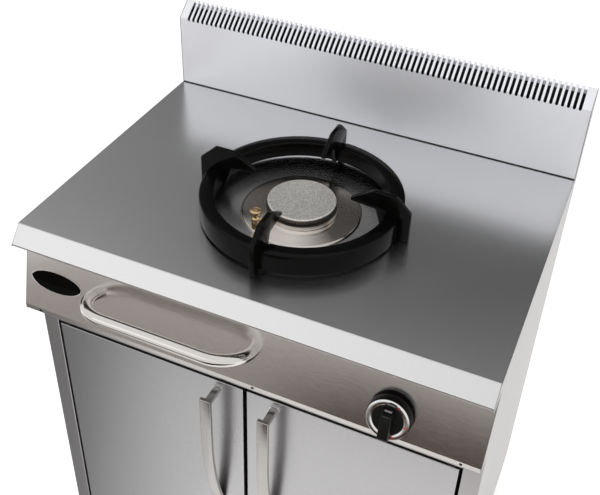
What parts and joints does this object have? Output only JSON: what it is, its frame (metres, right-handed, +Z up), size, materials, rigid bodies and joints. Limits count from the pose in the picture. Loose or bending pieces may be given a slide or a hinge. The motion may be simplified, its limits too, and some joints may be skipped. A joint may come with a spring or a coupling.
{
  "type": "gas wok stove",
  "caption": "Free-standing gas wok stove: steel worktop with a wok ring over a capped burner, slotted splashback, sloped control panel with knob and hand rail, cabinet with two doors.",
  "frame": {"origin": "on the floor, under the middle of the whole box (hand rail and gas inlet included)", "axes": "+X to the right as seen from the front, +Y to the back, +Z up"},
  "size_m": [0.8, 0.6582, 1.02],
  "materials": {
    "worktop_steel": "satin",
    "splash_steel": "satin",
    "panel_steel": "polished",
    "side_steel": "satin",
    "cabinet_steel": "satin",
    "galvanised_sheet": "matte",
    "plate_steel": "satin",
    "burner_metal": "satin",
    "cap_steel": "matte",
    "brass_turned": "satin",
    "copper_tube": "satin",
    "pipe_steel": "matte",
    "black_enamel": "gloss",
    "knob_black": "satin",
    "scale_bright": "polished",
    "rail_bright": "polished",
    "badge_black": "gloss",
    "door_steel": "satin",
    "handle_nickel": "satin",
    "rosette_bright": "polished",
    "screw_steel": "plain",
    "bush_plastic": "matte",
    "magnet_black": "matte",
    "foot_black": "matte"
  },
  "bodies": {
    "stove_body": {"worktop": "worktop_steel", "splashback": "splash_steel", "flue_back": "splash_steel", "control_panel": "panel_steel", "left_side_skirt": "side_steel", "right_side_skirt": "side_steel", "left_side_panel": "side_steel", "right_side_panel": "side_steel", "back_panel": "cabinet_steel", "cabinet_floor": "cabinet_steel", "top_front_rail": "cabinet_steel", "worktop_stiffeners": "galvanised_sheet", "heat_shield": "galvanised_sheet", "burner_bracket": "galvanised_sheet", "hinge_brackets": "galvanised_sheet", "foot_sleeves": "galvanised_sheet", "burner_plate": "plate_steel", "burner_body": "burner_metal", "burner_port_ring": "burner_metal", "mixing_tube": "burner_metal", "air_shutter": "burner_metal", "pilot_burner": "brass_turned", "injector": "brass_turned", "tube_nuts": "brass_turned", "pilot_tube_nuts": "brass_turned", "valve_body": "brass_turned", "gas_inlet_fitting": "brass_turned", "pilot_tube": "copper_tube", "thermocouple": "copper_tube", "burner_feed_tube": "pipe_steel", "gas_inlet_pipe": "pipe_steel", "hand_rail": "rail_bright", "badge_plate": "badge_black", "rail_screws": "screw_steel", "module_screws": "screw_steel", "hinge_pins": "screw_steel", "door_magnets": "magnet_black"},
    "gas_tap": {"valve_plug": "brass_turned"},
    "knob": {"valve_spindle": "screw_steel", "knob": "knob_black", "knob_scale_ring": "scale_bright"},
    "wok_ring": {"wok_ring": "black_enamel", "wok_ring_fins": "black_enamel"},
    "burner_cap": {"burner_cap": "cap_steel"},
    "left_door": {"left_door_skin": "door_steel", "left_door_liner": "door_steel", "left_door_handle": "handle_nickel", "left_handle_rosette": "rosette_bright", "left_hinge_bushes": "bush_plastic", "left_handle_screws": "screw_steel"},
    "right_door": {"right_door_skin": "door_steel", "right_door_liner": "door_steel", "right_door_handle": "handle_nickel", "right_handle_rosette": "rosette_bright", "right_hinge_bushes": "bush_plastic", "right_handle_screws": "screw_steel"},
    "foot_front_left": {"foot_front_left": "foot_black"},
    "foot_front_right": {"foot_front_right": "foot_black"},
    "foot_rear_left": {"foot_rear_left": "foot_black"},
    "foot_rear_right": {"foot_rear_right": "foot_black"}
  },
  "joints": [
    {"name": "left_door_hinge", "type": "hinge", "parent": "stove_body", "child": "left_door", "pos_m": [-0.353, -0.2336, 0.357], "axis": [0, 0, -1], "range_deg": [0, 110]},
    {"name": "right_door_hinge", "type": "hinge", "parent": "stove_body", "child": "right_door", "pos_m": [0.353, -0.2336, 0.357], "axis": [0, 0, 1], "range_deg": [0, 110]},
    {"name": "tap_turn", "type": "hinge", "parent": "stove_body", "child": "gas_tap", "pos_m": [0.256, -0.26825, 0.72764], "axis": [0, -0.9659, 0.2588], "range_deg": [0, 180]},
    {"name": "knob_push", "type": "slide", "parent": "gas_tap", "child": "knob", "axis": [0, 0.9659, -0.2588], "range_m": [0, 0.004], "stiffness_N_per_m": 1500, "springref_m": -0.002},
    {"name": "wok_ring_lift", "type": "slide", "parent": "stove_body", "child": "wok_ring", "axis": [0, 0, 1], "range_m": [0, 0.15]},
    {"name": "burner_cap_lift", "type": "slide", "parent": "stove_body", "child": "burner_cap", "axis": [0, 0, 1], "range_m": [0, 0.05]},
    {"name": "foot_front_left_screw", "type": "slide", "parent": "stove_body", "child": "foot_front_left", "axis": [0, 0, -1], "range_m": [0, 0.02]},
    {"name": "foot_front_right_screw", "type": "slide", "parent": "stove_body", "child": "foot_front_right", "axis": [0, 0, -1], "range_m": [0, 0.02]},
    {"name": "foot_rear_left_screw", "type": "slide", "parent": "stove_body", "child": "foot_rear_left", "axis": [0, 0, -1], "range_m": [0, 0.02]},
    {"name": "foot_rear_right_screw", "type": "slide", "parent": "stove_body", "child": "foot_rear_right", "axis": [0, 0, -1], "range_m": [0, 0.02]}
  ]
}
